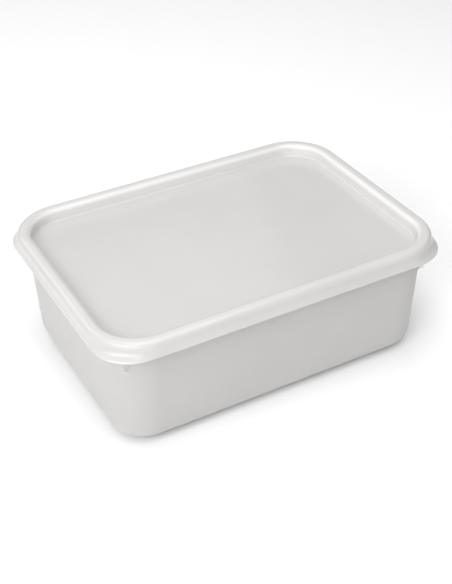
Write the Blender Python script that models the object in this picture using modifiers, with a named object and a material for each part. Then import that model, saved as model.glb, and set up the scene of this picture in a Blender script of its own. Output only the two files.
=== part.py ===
"""Rectangular ice cream tub with its press-on lid.

Metres, +Z up.  The origin is the centre of the tub's underside, +X runs along
the long side and +Y along the short side.  Both pieces are lofts through
rounded rectangles, because their corner radius changes from ring to ring.
A ring is (inset, radius, z): how far its straight sides lie inside the
footprint, its corner radius and its height.
"""
import math

import bmesh
import bpy
from mathutils import Vector

MM = 0.001

# Footprint, over the lid's skirt
LENGTH = 220.0 * MM
WIDTH = 158.5 * MM
CORNERS = ((1, 1), (-1, 1), (-1, -1), (1, -1))
CORNER_STEPS = 12
SMOOTH_BELOW_DEG = 40

# Lid
LID_THICKNESS = 0.9 * MM
SKIRT_RADIUS = 24.0 * MM
SKIRT_Z = 69.1 * MM
SKIRT_LIP = 0.5 * MM
FLARE_TO_ROUND = 1.2 * MM
FLARE_CURVE = 1.2
FLARE_STEPS = 5
RIDGE_OUTER_INSET = 4.23 * MM
RIDGE_OUTER_Z = 75.32 * MM
RIDGE_OUTER_ROUND = 3.28 * MM
RIDGE_OUTER_STEPS = 6
RIDGE_RADIUS = 27.5 * MM
RIDGE_INNER_INSET = 6.08 * MM
RIDGE_INNER_ROUND = 3.2 * MM
RIDGE_INNER_STEPS = 7
RIDGE_TOP_Z = RIDGE_OUTER_Z + RIDGE_OUTER_ROUND
RIDGE_INNER_Z = RIDGE_TOP_Z - RIDGE_INNER_ROUND
PANEL_Z = 70.7 * MM
PANEL_FILLET = 0.8 * MM
PANEL_FILLET_STEPS = 3
INNER_WALL_DRAFT = 0.15 * MM

# Tub
BASE_INSET = 9.22 * MM
BASE_RADIUS = 22.04 * MM
BASE_FILLET = 14.5 * MM
BASE_FILLET_STEPS = 9
NECK_INSET = 6.25 * MM
NECK_RADIUS = 25.95 * MM
NECK_Z = 68.0 * MM
FOOT_WIDTH = 6.0 * MM
FOOT_RECESS = 1.0 * MM
FOOT_RECESS_RADIUS = 4.0 * MM
FIT_GAP = 0.4 * MM
BEAD_STEPS = 5
RIM_FLANGE_Z = 70.2 * MM

# Fins under the tub's rim, one on each corner's diagonal
FIN_THICKNESS = 1.9 * MM
FIN_REACH = 2.95 * MM
FIN_ROOT = 1.5 * MM
FIN_BOTTOM_Z = 56.5 * MM
FIN_TOP_Z = RIM_FLANGE_Z + 0.4 * MM
FIN_GUSSET = 1.9 * MM
FIN_GUSSET_BEND = (0.45, 0.35)
MERGE_DISTANCE = 0.01 * MM

LID_COLOUR = (0.80, 0.80, 0.79, 1.0)
LID_ROUGHNESS = 0.35
TUB_COLOUR = (0.70, 0.70, 0.69, 1.0)
TUB_ROUGHNESS = 0.4


def clear_scene():
    """Remove every object of the startup scene."""
    for obj in list(bpy.data.objects):
        bpy.data.objects.remove(obj, do_unlink=True)


def new_collection(name):
    """A collection linked to the scene."""
    collection = bpy.data.collections.new(name)
    bpy.context.scene.collection.children.link(collection)
    return collection


def plastic(name, colour, roughness):
    """A moulded polypropylene surface."""
    material = bpy.data.materials.new(name)
    material.use_nodes = True
    shader = material.node_tree.nodes["Principled BSDF"]
    shader.inputs["Base Color"].default_value = colour
    shader.inputs["Roughness"].default_value = roughness
    shader.inputs["Metallic"].default_value = 0.0
    return material


def outline(inset, radius, z):
    """Points of a rounded rectangle, counterclockwise seen from above."""
    half_x = LENGTH / 2 - inset - radius
    half_y = WIDTH / 2 - inset - radius
    points = []
    for quarter, (side_x, side_y) in enumerate(CORNERS):
        for step in range(CORNER_STEPS + 1):
            angle = math.radians(90) * (quarter + step / CORNER_STEPS)
            x = side_x * half_x + radius * math.cos(angle)
            y = side_y * half_y + radius * math.sin(angle)
            points.append(Vector((x, y, z)))
    return points


def arc(centre_inset, centre_z, radius, start_deg, end_deg, steps):
    """(inset, z) along an arc; 0 degrees points out of the tub and 90 up."""
    points = []
    for step in range(steps + 1):
        angle = math.radians(start_deg + (end_deg - start_deg) * step / steps)
        points.append((centre_inset - radius * math.cos(angle), centre_z + radius * math.sin(angle)))
    return points


def parallel_rings(profile, radius_at_zero):
    """Rings through (inset, z) points whose corners all share one centre."""
    return [(inset, radius_at_zero - inset, z) for inset, z in profile]


def loft(name, rings, collection, close_start=False, close_end=True):
    """An object skinned from ring to ring, with its ends closed on request."""
    mesh = bpy.data.meshes.new(name)
    bm = bmesh.new()
    loops = [[bm.verts.new(point) for point in outline(*ring)] for ring in rings]
    for lower, upper in zip(loops, loops[1:]):
        count = len(lower)
        for i in range(count):
            following = (i + 1) % count
            bm.faces.new((lower[i], lower[following], upper[following], upper[i]))
    if close_start:
        bm.faces.new(tuple(reversed(loops[0])))
    if close_end:
        bm.faces.new(tuple(loops[-1]))
    bm.to_mesh(mesh)
    bm.free()
    mesh.shade_smooth()
    mesh.set_sharp_from_angle(angle=math.radians(SMOOTH_BELOW_DEG))
    obj = bpy.data.objects.new(name, mesh)
    collection.objects.link(obj)
    return obj


def lid_rings():
    """The lid's outer skin, from the skirt's lower edge over the ridge to the panel."""
    ridge_zero = RIDGE_RADIUS + RIDGE_OUTER_INSET
    wall_inset = RIDGE_OUTER_INSET - RIDGE_OUTER_ROUND
    wall_radius = ridge_zero - wall_inset
    rings = [
        (0.0, SKIRT_RADIUS, SKIRT_Z),
        (0.0, SKIRT_RADIUS, SKIRT_Z + SKIRT_LIP),
    ]
    # The skirt draws in to the ridge: 1 mm along the sides, 3 mm at the corners.
    flare_start_z = SKIRT_Z + SKIRT_LIP
    flare_height = RIDGE_OUTER_Z - FLARE_TO_ROUND - flare_start_z
    for step in range(1, FLARE_STEPS + 1):
        share = step / FLARE_STEPS
        ease = math.sin(share * math.radians(90)) ** FLARE_CURVE
        inset = wall_inset * ease
        radius = SKIRT_RADIUS + (wall_radius - SKIRT_RADIUS) * ease
        rings.append((inset, radius, flare_start_z + flare_height * share))
    crown = arc(RIDGE_OUTER_INSET, RIDGE_OUTER_Z, RIDGE_OUTER_ROUND, 0, 90, RIDGE_OUTER_STEPS)
    crown += arc(RIDGE_INNER_INSET, RIDGE_INNER_Z, RIDGE_INNER_ROUND, 90, 180, RIDGE_INNER_STEPS)
    wall_foot = RIDGE_INNER_INSET + RIDGE_INNER_ROUND + INNER_WALL_DRAFT
    fillet_inset = wall_foot + PANEL_FILLET
    fillet_z = PANEL_Z + PANEL_FILLET
    fillet = arc(fillet_inset, fillet_z, PANEL_FILLET, 0, -90, PANEL_FILLET_STEPS)
    return rings + parallel_rings(crown + fillet, ridge_zero)


def build_lid(collection):
    """A thin shell: skirt, raised ridge and the panel sunk inside the ridge."""
    lid = loft("lid", lid_rings(), collection)
    shell = lid.modifiers.new("wall", "SOLIDIFY")
    shell.thickness = LID_THICKNESS
    shell.offset = -1.0
    shell.use_even_offset = True
    shell.use_rim = True
    lid.data.materials.append(plastic("lid_plastic", LID_COLOUR, LID_ROUGHNESS))
    return lid


def wall_ring(z):
    """The tub's drafted wall at height z."""
    share = (z - BASE_FILLET) / (NECK_Z - BASE_FILLET)
    inset = BASE_INSET + (NECK_INSET - BASE_INSET) * share
    radius = BASE_RADIUS + (NECK_RADIUS - BASE_RADIUS) * share
    return (inset, radius, z)


def foot_rings():
    """The underside: a shallow recess inside the ring that the tub stands on."""
    ring_inset = BASE_INSET + BASE_FILLET
    recess_inset = ring_inset + FOOT_WIDTH
    return [
        (recess_inset + FOOT_RECESS, FOOT_RECESS_RADIUS, FOOT_RECESS),
        (recess_inset, FOOT_RECESS_RADIUS, 0.0),
    ]


def base_rings():
    """The large round between the underside and the wall."""
    centre_inset = BASE_INSET + BASE_FILLET
    profile = arc(centre_inset, BASE_FILLET, BASE_FILLET, -90, 0, BASE_FILLET_STEPS)
    return parallel_rings(profile, BASE_INSET + BASE_RADIUS)


def rim_rings():
    """The tub's flange and bead, which stand inside the lid's ridge."""
    ridge_zero = RIDGE_RADIUS + RIDGE_OUTER_INSET
    clearance = LID_THICKNESS + FIT_GAP
    outer_round = RIDGE_OUTER_ROUND - clearance
    inner_round = RIDGE_INNER_ROUND - clearance
    flange_inset = RIDGE_OUTER_INSET - outer_round
    bead = [(flange_inset, RIM_FLANGE_Z)]
    bead += arc(RIDGE_OUTER_INSET, RIDGE_OUTER_Z, outer_round, 0, 90, BEAD_STEPS)
    bead += arc(RIDGE_INNER_INSET, RIDGE_INNER_Z, inner_round, 90, 180, BEAD_STEPS)
    inner_inset = RIDGE_INNER_INSET + inner_round
    bead.append((inner_inset, PANEL_Z - clearance))
    return parallel_rings(bead, ridge_zero)


def tub_rings():
    """The tub's whole skin, from the recess under it to the top under the lid."""
    wall = [wall_ring(NECK_Z)]
    return foot_rings() + base_rings() + wall + rim_rings()


def fin_profile():
    """A fin's outline as (distance out from the wall, z), with a bent gusset under it."""
    bend_out, bend_down = FIN_GUSSET_BEND
    return [
        (-FIN_ROOT, FIN_TOP_Z),
        (-FIN_ROOT, FIN_BOTTOM_Z - FIN_GUSSET),
        (0.0, FIN_BOTTOM_Z - FIN_GUSSET),
        (bend_out * FIN_GUSSET, FIN_BOTTOM_Z - bend_down * FIN_GUSSET),
        (FIN_GUSSET, FIN_BOTTOM_Z),
        (FIN_REACH, FIN_BOTTOM_Z),
        (FIN_REACH, FIN_TOP_Z),
    ]


def fin_mesh():
    """A flat fin standing in its own XY plane, X out from the wall and Y up."""
    curve = bpy.data.curves.new("fin_outline", "CURVE")
    curve.dimensions = "2D"
    curve.fill_mode = "BOTH"
    curve.extrude = FIN_THICKNESS / 2
    profile = fin_profile()
    spline = curve.splines.new("POLY")
    spline.points.add(len(profile) - 1)
    for point, (out, up) in zip(spline.points, profile):
        point.co = (out, up, 0.0, 1.0)
    spline.use_cyclic_u = True
    carrier = bpy.data.objects.new("fin_outline", curve)
    bpy.context.scene.collection.objects.link(carrier)
    evaluated = carrier.evaluated_get(bpy.context.evaluated_depsgraph_get())
    mesh = bpy.data.meshes.new_from_object(evaluated)
    bm = bmesh.new()
    bm.from_mesh(mesh)
    bmesh.ops.remove_doubles(bm, verts=bm.verts, dist=MERGE_DISTANCE)
    bmesh.ops.recalc_face_normals(bm, faces=bm.faces)
    bm.to_mesh(mesh)
    bm.free()
    bpy.data.objects.remove(carrier, do_unlink=True)
    return mesh


def add_fins(tub, collection):
    """Fuse a fin to the wall on each corner's diagonal."""
    inset, radius, _ = wall_ring(FIN_BOTTOM_Z)
    mesh = fin_mesh()
    for number, (side_x, side_y) in enumerate(CORNERS):
        heading = math.atan2(side_y, side_x)
        centre_x = side_x * (LENGTH / 2 - inset - radius)
        centre_y = side_y * (WIDTH / 2 - inset - radius)
        fin = bpy.data.objects.new(f"fin_{number + 1}", mesh)
        fin.location = (
            centre_x + radius * math.cos(heading),
            centre_y + radius * math.sin(heading),
            0.0,
        )
        fin.rotation_euler = (math.radians(90), 0.0, heading)
        fin.hide_render = True
        fin.display_type = "WIRE"
        collection.objects.link(fin)
        union = tub.modifiers.new(f"fin_{number + 1}", "BOOLEAN")
        union.operation = "UNION"
        union.solver = "EXACT"
        union.object = fin


def build_tub(collection, tools):
    """The shut tub, solid inside because nothing in it can be seen."""
    tub = loft("tub", tub_rings(), collection, close_start=True)
    tub.data.materials.append(plastic("tub_plastic", TUB_COLOUR, TUB_ROUGHNESS))
    add_fins(tub, tools)
    return tub


def main():
    clear_scene()
    parts = new_collection("ice_cream_tub")
    tools = new_collection("union_tools")
    build_tub(parts, tools)
    build_lid(parts)


main()
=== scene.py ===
"""Looks of the rectangular ice cream tub: milky polypropylene on a pale floor.

Metres, +Z up.  The origin is the centre of the tub's underside, +X runs along
the long side and +Y along the short side.  Both pieces are grown ring by ring
from a rounded plate.  A ring is (inset, radius, z): how far its straight sides
lie inside the lid's footprint, its corner radius and its height.
"""
import math

import bmesh
import bpy
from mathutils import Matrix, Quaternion, Vector


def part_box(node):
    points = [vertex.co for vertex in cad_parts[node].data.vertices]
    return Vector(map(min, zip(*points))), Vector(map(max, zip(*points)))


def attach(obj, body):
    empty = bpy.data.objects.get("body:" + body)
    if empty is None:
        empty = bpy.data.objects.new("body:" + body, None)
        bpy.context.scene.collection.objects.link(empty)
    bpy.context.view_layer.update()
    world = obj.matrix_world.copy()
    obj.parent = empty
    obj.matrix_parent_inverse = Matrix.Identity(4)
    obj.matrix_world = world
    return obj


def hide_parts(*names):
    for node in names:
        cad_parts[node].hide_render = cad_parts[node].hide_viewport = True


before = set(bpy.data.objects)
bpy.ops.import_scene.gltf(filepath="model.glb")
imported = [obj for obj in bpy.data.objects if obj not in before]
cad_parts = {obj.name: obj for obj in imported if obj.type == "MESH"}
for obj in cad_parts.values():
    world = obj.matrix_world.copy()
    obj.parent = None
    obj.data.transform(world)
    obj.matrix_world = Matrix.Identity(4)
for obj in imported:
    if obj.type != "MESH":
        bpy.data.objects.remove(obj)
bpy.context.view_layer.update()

MM = 0.001
LID_LOW, LID_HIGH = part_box("lid")

# Footprint and heights that the frame gives
LENGTH = LID_HIGH.x - LID_LOW.x
WIDTH = LID_HIGH.y - LID_LOW.y
SKIRT_Z = LID_LOW.z
RIDGE_TOP_Z = LID_HIGH.z

# Lid
LID_THICKNESS = 0.9 * MM
SKIRT_RADIUS = 24.0 * MM
SKIRT_LIP = 0.5 * MM
LIP_ROUND = 0.35 * MM
RIDGE_OUTER_INSET = 4.23 * MM
RIDGE_OUTER_ROUND = 3.28 * MM
RIDGE_OUTER_Z = RIDGE_TOP_Z - RIDGE_OUTER_ROUND
RIDGE_FOOT_INSET = RIDGE_OUTER_INSET - RIDGE_OUTER_ROUND
RIDGE_RADIUS = 27.5 * MM
RIDGE_ZERO_RADIUS = RIDGE_RADIUS + RIDGE_OUTER_INSET
RIDGE_INNER_INSET = 6.08 * MM
RIDGE_INNER_ROUND = 3.2 * MM
RIDGE_INNER_Z = RIDGE_TOP_Z - RIDGE_INNER_ROUND
PANEL_Z = 70.7 * MM
PANEL_FILLET = 0.8 * MM
INNER_WALL_DRAFT = 0.15 * MM
FLARE_TO_ROUND = 1.2 * MM
FLARE_TOP_Z = RIDGE_OUTER_Z - FLARE_TO_ROUND
FLARE_CURVE = 1.2

# Tub
BASE_INSET = 9.22 * MM
BASE_RADIUS = 22.04 * MM
BASE_FILLET = 14.5 * MM
STAND_INSET = BASE_INSET + BASE_FILLET
NECK_INSET = 6.25 * MM
NECK_RADIUS = 25.95 * MM
NECK_Z = 68.0 * MM
NECK_FILLET = 1.2 * MM
FOOT_WIDTH = 6.0 * MM
FOOT_RECESS = 1.0 * MM
FOOT_RECESS_RADIUS = 4.0 * MM
FIT_GAP = 0.4 * MM
CLEARANCE = LID_THICKNESS + FIT_GAP
RIM_FLANGE_Z = 70.2 * MM
RIM_FLANGE_DEPTH = 0.7 * MM

# Fins
FIN_THICKNESS = 1.9 * MM
FIN_REACH = 2.95 * MM
FIN_ROOT = 1.5 * MM
FIN_BOTTOM_Z = 56.5 * MM
FIN_TOP_Z = RIM_FLANGE_Z + 0.4 * MM
FIN_GUSSET = 1.9 * MM
FIN_GUSSET_BEND = (0.45, 0.35)
FIN_ROUND = 0.45 * MM
FIN_DRAFT = 0.15

# Steps in the rounds
CORNER_STEPS = 28
FLARE_STEPS = 10
PANEL_FILLET_STEPS = 8
RIDGE_INNER_STEPS = 18
RIDGE_OUTER_STEPS = 16
LIP_STEPS = 4
BASE_FILLET_STEPS = 18
NECK_FILLET_STEPS = 5
BEAD_STEPS = 8
FIN_ROUND_STEPS = 3

# Shading is smooth below the first of these angles between faces, and edges are
# rounded above the others
SMOOTH_BELOW_DEG = 35
LIP_ABOVE_DEG = 60
FIN_ROUND_ABOVE_DEG = 50

# A support ring this far from a round keeps the shading of the wide faces flat
SUPPORT = 0.4 * MM


# ---------------------------------------------------------------- shaping

def corner_centre(ring, vertex):
    """The centre of the corner round that a vertex of this ring belongs to."""
    inset, radius, _ = ring
    x = math.copysign(LENGTH / 2 - inset - radius, vertex.co.x)
    y = math.copysign(WIDTH / 2 - inset - radius, vertex.co.y)
    return Vector((x, y))


def reshape(vertices, old, new):
    """Carry vertices that lie on one ring over to another."""
    for vertex in vertices:
        heading = (vertex.co.xy - corner_centre(old, vertex)) / old[1]
        place = corner_centre(new, vertex) + heading * new[1]
        vertex.co = (place.x, place.y, new[2])


def rounded_plate(bm, ring):
    """A flat plate with rounded corners, filling the first ring."""
    inset, radius, z = ring
    corners = bmesh.ops.create_grid(bm, x_segments=1, y_segments=1, size=0.5)["verts"]
    bmesh.ops.scale(bm, vec=(LENGTH - 2 * inset, WIDTH - 2 * inset, 1.0), verts=corners)
    bmesh.ops.translate(bm, vec=(0.0, 0.0, z), verts=corners)
    bmesh.ops.bevel(
        bm,
        geom=corners,
        offset=radius,
        segments=CORNER_STEPS,
        profile=0.5,
        affect="VERTICES",
        material=-1,
    )
    return [edge for edge in bm.edges if edge.is_boundary]


def grow(bm, edges, old, new):
    """Extrude the open loop of edges on to the next ring."""
    grown = bmesh.ops.extrude_edge_only(bm, edges=edges)["geom"]
    reshape([item for item in grown if isinstance(item, bmesh.types.BMVert)], old, new)
    return [item for item in grown if isinstance(item, bmesh.types.BMEdge) and item.is_boundary]


def grow_through(bm, rings):
    """A plate on the first ring, grown through all the others."""
    edges = rounded_plate(bm, rings[0])
    for old, new in zip(rings, rings[1:]):
        edges = grow(bm, edges, old, new)
    return edges


def arc(centre_inset, centre_z, radius, start_deg, end_deg, steps):
    """(inset, z) along an arc; 0 degrees points out of the tub and 90 up."""
    points = []
    for step in range(steps + 1):
        angle = math.radians(start_deg + (end_deg - start_deg) * step / steps)
        out, up = radius * math.cos(angle), radius * math.sin(angle)
        points.append((centre_inset - out, centre_z + up))
    return points


def parallel_rings(profile, radius_at_zero):
    """Rings through (inset, z) points whose corners all share one centre."""
    return [(inset, radius_at_zero - inset, z) for inset, z in profile]


def smooth(mesh):
    """Shade the rounds smooth and leave the corners crisp."""
    mesh.shade_smooth()
    mesh.set_sharp_from_angle(angle=math.radians(SMOOTH_BELOW_DEG))


def new_piece(name, bm, material):
    """Make the mesh an object in the scene."""
    mesh = bpy.data.meshes.new(name)
    bm.to_mesh(mesh)
    bm.free()
    smooth(mesh)
    mesh.materials.append(material)
    piece = bpy.data.objects.new(name, mesh)
    bpy.context.scene.collection.objects.link(piece)
    return piece


def fuse(piece, tool):
    """Join a tool's shape to a piece and remove the tool."""
    union = piece.modifiers.new("fuse", "BOOLEAN")
    union.operation = "UNION"
    union.solver = "EXACT"
    union.object = tool
    evaluated = piece.evaluated_get(bpy.context.evaluated_depsgraph_get())
    fused = bpy.data.meshes.new_from_object(evaluated)
    piece.modifiers.remove(union)
    piece.data = fused
    smooth(fused)
    bpy.data.objects.remove(tool, do_unlink=True)


# ---------------------------------------------------------------- the lid

def skirt_rings():
    """From the ridge's foot down and out to the skirt's lower edge."""
    foot_radius = RIDGE_RADIUS + RIDGE_OUTER_ROUND
    flare_z = SKIRT_Z + SKIRT_LIP
    rings = []
    for step in range(FLARE_STEPS, 0, -1):
        share = step / FLARE_STEPS
        ease = math.sin(share * math.radians(90)) ** FLARE_CURVE
        inset = RIDGE_FOOT_INSET * ease
        radius = SKIRT_RADIUS + (foot_radius - SKIRT_RADIUS) * ease
        rings.append((inset, radius, flare_z + (FLARE_TOP_Z - flare_z) * share))
    rings.append((0.0, SKIRT_RADIUS, flare_z))
    rings.append((0.0, SKIRT_RADIUS, SKIRT_Z))
    return rings


def lid_rings():
    """From the sunk panel up over the ridge and down to the skirt."""
    wall_foot = RIDGE_INNER_INSET + RIDGE_INNER_ROUND + INNER_WALL_DRAFT
    fillet_inset = wall_foot + PANEL_FILLET
    profile = [(fillet_inset + SUPPORT, PANEL_Z)]
    profile += arc(
        fillet_inset, PANEL_Z + PANEL_FILLET, PANEL_FILLET, -90, 0, PANEL_FILLET_STEPS
    )
    profile += arc(
        RIDGE_INNER_INSET, RIDGE_INNER_Z, RIDGE_INNER_ROUND, 180, 90, RIDGE_INNER_STEPS
    )
    profile += arc(
        RIDGE_OUTER_INSET, RIDGE_OUTER_Z, RIDGE_OUTER_ROUND, 90, 0, RIDGE_OUTER_STEPS
    )
    return parallel_rings(profile, RIDGE_ZERO_RADIUS) + skirt_rings()


def build_lid(material):
    """A thin shell with a rounded lower lip."""
    bm = bmesh.new()
    grow_through(bm, lid_rings())
    bmesh.ops.recalc_face_normals(bm, faces=bm.faces)
    # An open sheet can come out turned, and the wall is added below it
    panel = max(bm.faces, key=lambda face: face.calc_area())
    if panel.normal.z < 0:
        bmesh.ops.reverse_faces(bm, faces=bm.faces)
    lid = new_piece("lid_shell", bm, material)
    wall = lid.modifiers.new("wall", "SOLIDIFY")
    wall.thickness = LID_THICKNESS
    wall.offset = -1.0
    wall.use_even_offset = True
    lip = lid.modifiers.new("lip", "BEVEL")
    lip.width = LIP_ROUND
    lip.segments = LIP_STEPS
    lip.limit_method = "ANGLE"
    lip.angle_limit = math.radians(LIP_ABOVE_DEG)
    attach(lid, "root")
    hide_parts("lid")


# ---------------------------------------------------------------- the tub

def wall_ring(z):
    """The drafted wall at height z."""
    share = (z - BASE_FILLET) / (NECK_Z - BASE_FILLET)
    inset = BASE_INSET + (NECK_INSET - BASE_INSET) * share
    radius = BASE_RADIUS + (NECK_RADIUS - BASE_RADIUS) * share
    return (inset, radius, z)


def foot_rings():
    """The recess under the tub and the ring that it stands on."""
    recess_inset = STAND_INSET + FOOT_WIDTH
    radius = FOOT_RECESS_RADIUS
    return [
        (recess_inset + FOOT_RECESS + SUPPORT, radius, FOOT_RECESS),
        (recess_inset + FOOT_RECESS, radius, FOOT_RECESS),
        (recess_inset, radius, 0.0),
        (recess_inset - SUPPORT, radius, 0.0),
        (STAND_INSET + SUPPORT, BASE_RADIUS - BASE_FILLET - SUPPORT, 0.0),
    ]


def neck_rings():
    """The wall turning out under the tub's rim."""
    flange_inset = RIDGE_FOOT_INSET + CLEARANCE
    flange_radius = RIDGE_ZERO_RADIUS - flange_inset
    turn = arc(NECK_INSET - NECK_FILLET, NECK_Z, NECK_FILLET, 180, 90, NECK_FILLET_STEPS)
    rings = [(inset, NECK_RADIUS + NECK_INSET - inset, z) for inset, z in turn]
    rings.append((flange_inset, flange_radius, RIM_FLANGE_Z - RIM_FLANGE_DEPTH))
    rings.append((flange_inset, flange_radius, RIM_FLANGE_Z))
    return rings


def bead_rings():
    """The bead inside the lid's ridge, down to the plateau under the panel."""
    outer_round = RIDGE_OUTER_ROUND - CLEARANCE
    inner_round = RIDGE_INNER_ROUND - CLEARANCE
    bead = arc(RIDGE_OUTER_INSET, RIDGE_OUTER_Z, outer_round, 0, 90, BEAD_STEPS)
    bead += arc(RIDGE_INNER_INSET, RIDGE_INNER_Z, inner_round, 90, 180, BEAD_STEPS)
    bead.append((RIDGE_INNER_INSET + inner_round, PANEL_Z - CLEARANCE))
    return parallel_rings(bead, RIDGE_ZERO_RADIUS)


def tub_rings():
    """The whole skin, from the recess below to the plateau on top."""
    profile = arc(STAND_INSET, BASE_FILLET, BASE_FILLET, -90, 0, BASE_FILLET_STEPS)
    base = parallel_rings(profile, BASE_INSET + BASE_RADIUS)
    wall = [wall_ring(BASE_FILLET + SUPPORT), wall_ring(NECK_Z - SUPPORT)]
    return foot_rings() + base + wall + neck_rings() + bead_rings()


def fin_outline():
    """A fin's outline as (distance out from the wall, z)."""
    bend_out, bend_down = FIN_GUSSET_BEND
    return [
        (-FIN_ROOT, FIN_TOP_Z),
        (-FIN_ROOT, FIN_BOTTOM_Z - FIN_GUSSET),
        (0.0, FIN_BOTTOM_Z - FIN_GUSSET),
        (bend_out * FIN_GUSSET, FIN_BOTTOM_Z - bend_down * FIN_GUSSET),
        (FIN_GUSSET, FIN_BOTTOM_Z),
        (FIN_REACH, FIN_BOTTOM_Z),
        (FIN_REACH, FIN_TOP_Z),
    ]


def fin_half(out):
    """Half a fin's thickness, which its draft makes wider towards the wall."""
    return FIN_THICKNESS / 2 + (FIN_REACH - out) * FIN_DRAFT


def add_fin(bm, side_x, side_y):
    """One upright fin on the diagonal of a corner."""
    inset, radius, _ = wall_ring(FIN_BOTTOM_Z)
    heading = Vector((side_x, side_y, 0.0)).normalized()
    across = Vector((-heading.y, heading.x, 0.0))
    centre = Vector((
        side_x * (LENGTH / 2 - inset - radius),
        side_y * (WIDTH / 2 - inset - radius),
        0.0,
    ))
    foot = centre + heading * radius
    flank = []
    for out, z in fin_outline():
        level = foot + heading * out - across * fin_half(out)
        flank.append(bm.verts.new(level + Vector((0, 0, z))))
    grown = bmesh.ops.extrude_face_region(bm, geom=[bm.faces.new(flank)])["geom"]
    for item in grown:
        if isinstance(item, bmesh.types.BMVert):
            item.co += across * 2 * fin_half((item.co - foot).dot(heading))


def build_fins(material):
    """The four fins, with softened edges, as one tool."""
    bm = bmesh.new()
    for side_x in (-1, 1):
        for side_y in (-1, 1):
            add_fin(bm, side_x, side_y)
    bmesh.ops.recalc_face_normals(bm, faces=bm.faces)
    crisp = math.radians(FIN_ROUND_ABOVE_DEG)
    edges = [edge for edge in bm.edges if edge.calc_face_angle() > crisp]
    bmesh.ops.bevel(
        bm,
        geom=edges,
        offset=FIN_ROUND,
        segments=FIN_ROUND_STEPS,
        profile=0.5,
        affect="EDGES",
        material=-1,
    )
    return new_piece("fins", bm, material)


def build_tub(material):
    """The shut tub, as one closed skin with its fins fused on."""
    bm = bmesh.new()
    top = grow_through(bm, tub_rings())
    bmesh.ops.contextual_create(bm, geom=top)
    bmesh.ops.recalc_face_normals(bm, faces=bm.faces)
    tub = new_piece("tub_body", bm, material)
    fuse(tub, build_fins(material))
    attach(tub, "root")
    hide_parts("tub")


# ---------------------------------------------------------------- materials

# Linear greys, and the tint that warms them
PANEL_GREY = 0.562
# The inner wall's white is partly the plastic's own tone over the tub's bead and partly painted
# light: a glow standing in for light that passes through the thin ridge
INNER_WALL_GLOW_GREY = 0.762
CREST_GREY = 0.608
SKIRT_GREY = 0.573
TUB_GREY = 0.513
# Painted light: the fins' flanks are whiter to stand in for light that passes through the thin
# fins and lights their shaded sides
FLANK_GLOW_GREY = 0.7
WARM_TINT = (1.0, 0.987, 0.974)

LID_ROUGHNESS = 0.13
TUB_ROUGHNESS = 0.5
PLASTIC_IOR = 1.49

# How much light scatters below the surface, and how far
LID_SCATTER = (0.35, 1.2 * MM)
TUB_SCATTER = (1.0, 3.0 * MM)

# Noise that both mouldings share, as (scale, detail)
CLOUD = (24.0, 4.0)
GRAIN = (420.0, 3.0)
NOISE_LOW, NOISE_HIGH = 0.3, 0.7
CLOUD_DARKEST = 0.975
GRAIN_SWING = 0.03
RIPPLE_STRENGTH = 0.1
RIPPLE_DEPTH = 0.2 * MM

# Where one tone gives way to the next, as distances beyond an edge
# The panel fades into the inner wall's painted glow at the first of these, and the glow fades
# into the crest at the second
WALL_GLOW_START_FADE = (-1.2 * MM, 0.2 * MM)      # the foot of the ridge's inner wall
WALL_GLOW_END_FADE = (0.5 * MM, 2.2 * MM)  # the same foot
CREST_FADE = (0.0, 2.2 * MM)            # the top of the ridge
# The next three bound the painted glow on the fins' flanks: across each fin, out from the tub's
# wall, and short of the fin's outer edge
FLANK_GLOW_FADE = (0.4 * MM, 1.0 * MM)       # a fin's flank
FIN_ROOT_FADE = (-0.2 * MM, 0.3 * MM)   # the tub's wall
FIN_NOSE_FADE = (-0.6 * MM, -0.2 * MM)  # a fin's outer edge

# The way that a fin points out of its corner
DIAGONAL = (math.sqrt(0.5), math.sqrt(0.5), 0.0)

# The sockets of a Mix node that hold its two colours and its result
FIRST_COLOUR, SECOND_COLOUR, RESULT_COLOUR = 6, 7, 2


class Nodes:
    """One material, with a short way to add each kind of node that it needs."""

    def __init__(self, name):
        self.material = bpy.data.materials.new(name)
        self.material.use_nodes = True
        self.tree = self.material.node_tree
        self.shader = self.tree.nodes["Principled BSDF"]
        self.place = self.add("ShaderNodeTexCoord").outputs["Object"]

    def add(self, kind, **settings):
        node = self.tree.nodes.new(kind)
        for key, value in settings.items():
            setattr(node, key, value)
        return node

    def feed(self, socket, source):
        """Link an output to a socket, or set the socket to a plain value."""
        if isinstance(source, bpy.types.NodeSocket):
            self.tree.links.new(source, socket)
        else:
            socket.default_value = source

    def vector(self, operation, first, second=(0.0, 0.0, 0.0)):
        node = self.add("ShaderNodeVectorMath", operation=operation)
        self.feed(node.inputs[0], first)
        self.feed(node.inputs[1], second)
        return node.outputs["Value" if operation == "LENGTH" else "Vector"]

    def noise(self, scale, detail):
        node = self.add("ShaderNodeTexNoise")
        self.feed(node.inputs["Vector"], self.place)
        self.feed(node.inputs["Scale"], scale)
        self.feed(node.inputs["Detail"], detail)
        return node.outputs["Fac"]

    def span(self, value, low, high, to_low, to_high):
        """Ease a value between two limits into another range."""
        node = self.add("ShaderNodeMapRange", interpolation_type="SMOOTHSTEP")
        for socket, source in zip(node.inputs, (value, low, high, to_low, to_high)):
            self.feed(socket, source)
        return node.outputs["Result"]

    def fade(self, value, edge, limits, top=1.0):
        """Rise from 0 to the top between two limits beyond an edge."""
        return self.span(value, edge + limits[0], edge + limits[1], 0.0, top)

    def mix(self, factor, first, second, blend="MIX"):
        node = self.add("ShaderNodeMix", data_type="RGBA", blend_type=blend)
        self.feed(node.inputs["Factor"], factor)
        self.feed(node.inputs[FIRST_COLOUR], first)
        self.feed(node.inputs[SECOND_COLOUR], second)
        return node.outputs[RESULT_COLOUR]

    def bump(self, height, strength, distance):
        node = self.add("ShaderNodeBump")
        self.feed(node.inputs["Strength"], strength)
        self.feed(node.inputs["Distance"], distance)
        self.feed(node.inputs["Height"], height)
        return node.outputs["Normal"]


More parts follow.
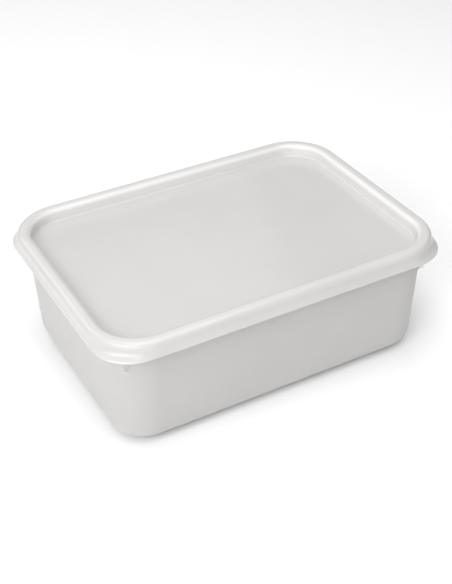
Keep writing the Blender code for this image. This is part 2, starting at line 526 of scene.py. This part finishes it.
def grey(value):
    """A slightly warm grey."""
    red, green, blue = WARM_TINT
    return (red * value, green * value, blue * value, 1.0)


def beyond(nodes, ring):
    """The way out to a point from the rectangle between a ring's corner centres."""
    inset, radius, _ = ring
    core = (LENGTH / 2 - inset - radius, WIDTH / 2 - inset - radius, 1.0)
    folded = nodes.vector("ABSOLUTE", nodes.place)
    return nodes.vector("MAXIMUM", nodes.vector("SUBTRACT", folded, core))


def milky(nodes, colour, roughness, scatter):
    """What both mouldings share: a cloudy colour, a faint ripple and soft depth."""
    cloud = nodes.noise(*CLOUD)
    grain = nodes.noise(*GRAIN)
    shade = nodes.span(cloud, NOISE_LOW, NOISE_HIGH, CLOUD_DARKEST, 1.0)
    smoothest, roughest = roughness - GRAIN_SWING, roughness + GRAIN_SWING
    weight, reach = scatter
    settings = {
        "Base Color": nodes.mix(1.0, colour, shade, "MULTIPLY"),
        "Roughness": nodes.span(grain, NOISE_LOW, NOISE_HIGH, smoothest, roughest),
        "Normal": nodes.bump(cloud, RIPPLE_STRENGTH, RIPPLE_DEPTH),
        "IOR": PLASTIC_IOR,
        "Subsurface Weight": weight,
        "Subsurface Radius": (1.0, 1.0, 1.0),
        "Subsurface Scale": reach,
    }
    for socket, source in settings.items():
        nodes.feed(nodes.shader.inputs[socket], source)


def lid_plastic():
    """Whitest on the ridge's inner wall, partly the plastic's own whiter tone over the tub's
    bead and partly painted glow of light through the ridge, and greyer on the panel and the
    skirt.
    """
    nodes = Nodes("lid_plastic")
    place = nodes.vector("LENGTH", beyond(nodes, (0.0, RIDGE_ZERO_RADIUS, PANEL_Z)))
    foot = RIDGE_ZERO_RADIUS - RIDGE_INNER_INSET - RIDGE_INNER_ROUND
    top = RIDGE_ZERO_RADIUS - RIDGE_OUTER_INSET
    # Painted light: the inner wall gets a whiter tone that stands in for light shining through
    # the ridge
    on_wall_glow = nodes.fade(place, foot, WALL_GLOW_START_FADE)
    on_ridge = nodes.fade(place, foot, WALL_GLOW_END_FADE)
    on_skirt = nodes.fade(place, top, CREST_FADE)
    panel_and_glow = nodes.mix(on_wall_glow, grey(PANEL_GREY), grey(INNER_WALL_GLOW_GREY))
    outside = nodes.mix(on_skirt, grey(CREST_GREY), grey(SKIRT_GREY))
    milky(nodes, nodes.mix(on_ridge, panel_and_glow, outside), LID_ROUGHNESS, LID_SCATTER)
    return nodes.material


def tub_plastic():
    """One milky sheet all over, with a painted glow on the flanks of the thin fins that stands
    in for light passing through them.
    """
    nodes = Nodes("tub_plastic")
    ring = wall_ring(FIN_BOTTOM_Z)
    out = beyond(nodes, ring)
    place = nodes.vector("LENGTH", out)
    across = nodes.vector("LENGTH", nodes.vector("CROSS_PRODUCT", out, DIAGONAL))
    wall = ring[1]
    near, far = (fin_half(0.0) + limit for limit in FLANK_GLOW_FADE)
    # Painted light: the flanks glow whiter, standing in for light that comes through the thin
    # fins
    glow_by_fin = nodes.span(across, near, far, 1.0, 0.0)
    on_flank_glow = nodes.fade(place, wall, FIN_ROOT_FADE, glow_by_fin)
    on_nose = nodes.fade(place, wall + FIN_REACH, FIN_NOSE_FADE)
    flanks_with_glow = nodes.mix(on_flank_glow, grey(TUB_GREY), grey(FLANK_GLOW_GREY))
    milky(nodes, nodes.mix(on_nose, flanks_with_glow, grey(TUB_GREY)), TUB_ROUGHNESS, TUB_SCATTER)
    return nodes.material


# ---------------------------------------------------------------- stage

CAMERA_TARGET = Vector((-3.93, -9.54, 39.81)) * MM
CAMERA_AZIMUTH = -28.55
CAMERA_ELEVATION = 35.53
CAMERA_ROLL = -0.98
CAMERA_DISTANCE = 662.37 * MM
CAMERA_LENS = 67.84
CAMERA_SENSOR = 36.0
CAMERA_CLIP = 10.0 * MM

FLOOR_SIZE = 6.0
FLOOR_GREY = 0.93

# name: azimuth and elevation in degrees, distance, width and height in metres,
# power in watts
SOFTBOXES = {
    "top": (0, 90, 1.4, 1.2, 1.2, 10.9),
    "key": (-65, 38, 1.3, 0.7, 0.5, 4.8),
    "key_side": (-42, 38, 1.3, 0.5, 0.5, 2.3),
    "low": (-45, 19, 1.3, 1.1, 0.65, 4.2),
    "front": (0, 60, 1.3, 0.9, 0.6, 2.6),
    "back": (180, 50, 1.4, 1.4, 0.7, 1.5),
    "back_left": (-160, 40, 1.4, 0.8, 0.6, 1.4),
}
WORLD_STRENGTH = 0.3


def direction(azimuth, elevation):
    """Unit vector out of the object; azimuth 0 is in front, at -Y, and 90 at +X."""
    a, e = math.radians(azimuth), math.radians(elevation)
    return Vector((math.sin(a) * math.cos(e), -math.cos(a) * math.cos(e), math.sin(e)))


def build_camera():
    """A camera that looks back at its target from its own direction."""
    data = bpy.data.cameras.new("camera")
    data.sensor_width = CAMERA_SENSOR
    data.lens = CAMERA_LENS
    data.clip_start = CAMERA_CLIP
    camera = bpy.data.objects.new("camera", data)
    bpy.context.scene.collection.objects.link(camera)
    back = direction(CAMERA_AZIMUTH, CAMERA_ELEVATION)
    camera.location = CAMERA_TARGET + back * CAMERA_DISTANCE
    camera.rotation_mode = "QUATERNION"
    roll = Quaternion((0.0, 0.0, 1.0), math.radians(CAMERA_ROLL))
    camera.rotation_quaternion = (-back).to_track_quat("-Z", "Y") @ roll
    bpy.context.scene.camera = camera


def build_floor():
    """A pale matt floor, wide enough to fill the view."""
    bm = bmesh.new()
    bmesh.ops.create_grid(bm, x_segments=1, y_segments=1, size=FLOOR_SIZE / 2)
    mesh = bpy.data.meshes.new("floor")
    bm.to_mesh(mesh)
    bm.free()
    material = bpy.data.materials.new("pale_floor")
    material.use_nodes = True
    shader = material.node_tree.nodes["Principled BSDF"]
    shader.inputs["Base Color"].default_value = (FLOOR_GREY, FLOOR_GREY, FLOOR_GREY, 1.0)
    shader.inputs["Roughness"].default_value = 1.0
    shader.inputs["Specular IOR Level"].default_value = 0.0
    mesh.materials.append(material)
    floor = bpy.data.objects.new("floor", mesh)
    bpy.context.scene.collection.objects.link(floor)


def build_softboxes():
    """Area lights that face the object."""
    for name, (azimuth, elevation, distance, width, height, power) in SOFTBOXES.items():
        data = bpy.data.lights.new(name, "AREA")
        data.shape = "RECTANGLE"
        data.size = width
        data.size_y = height
        data.energy = power
        light = bpy.data.objects.new(name, data)
        bpy.context.scene.collection.objects.link(light)
        way = direction(azimuth, elevation)
        light.location = way * distance
        light.rotation_mode = "QUATERNION"
        light.rotation_quaternion = (-way).to_track_quat("-Z", "Y")


def build_world():
    """An even dim white all round, shown without a film look."""
    world = bpy.data.worlds.new("studio")
    world.use_nodes = True
    background = world.node_tree.nodes["Background"]
    background.inputs["Color"].default_value = (1.0, 1.0, 1.0, 1.0)
    background.inputs["Strength"].default_value = WORLD_STRENGTH
    bpy.context.scene.world = world
    bpy.context.scene.view_settings.view_transform = "Standard"


def main():
    build_camera()
    build_floor()
    build_softboxes()
    build_world()
    build_lid(lid_plastic())
    build_tub(tub_plastic())


main()
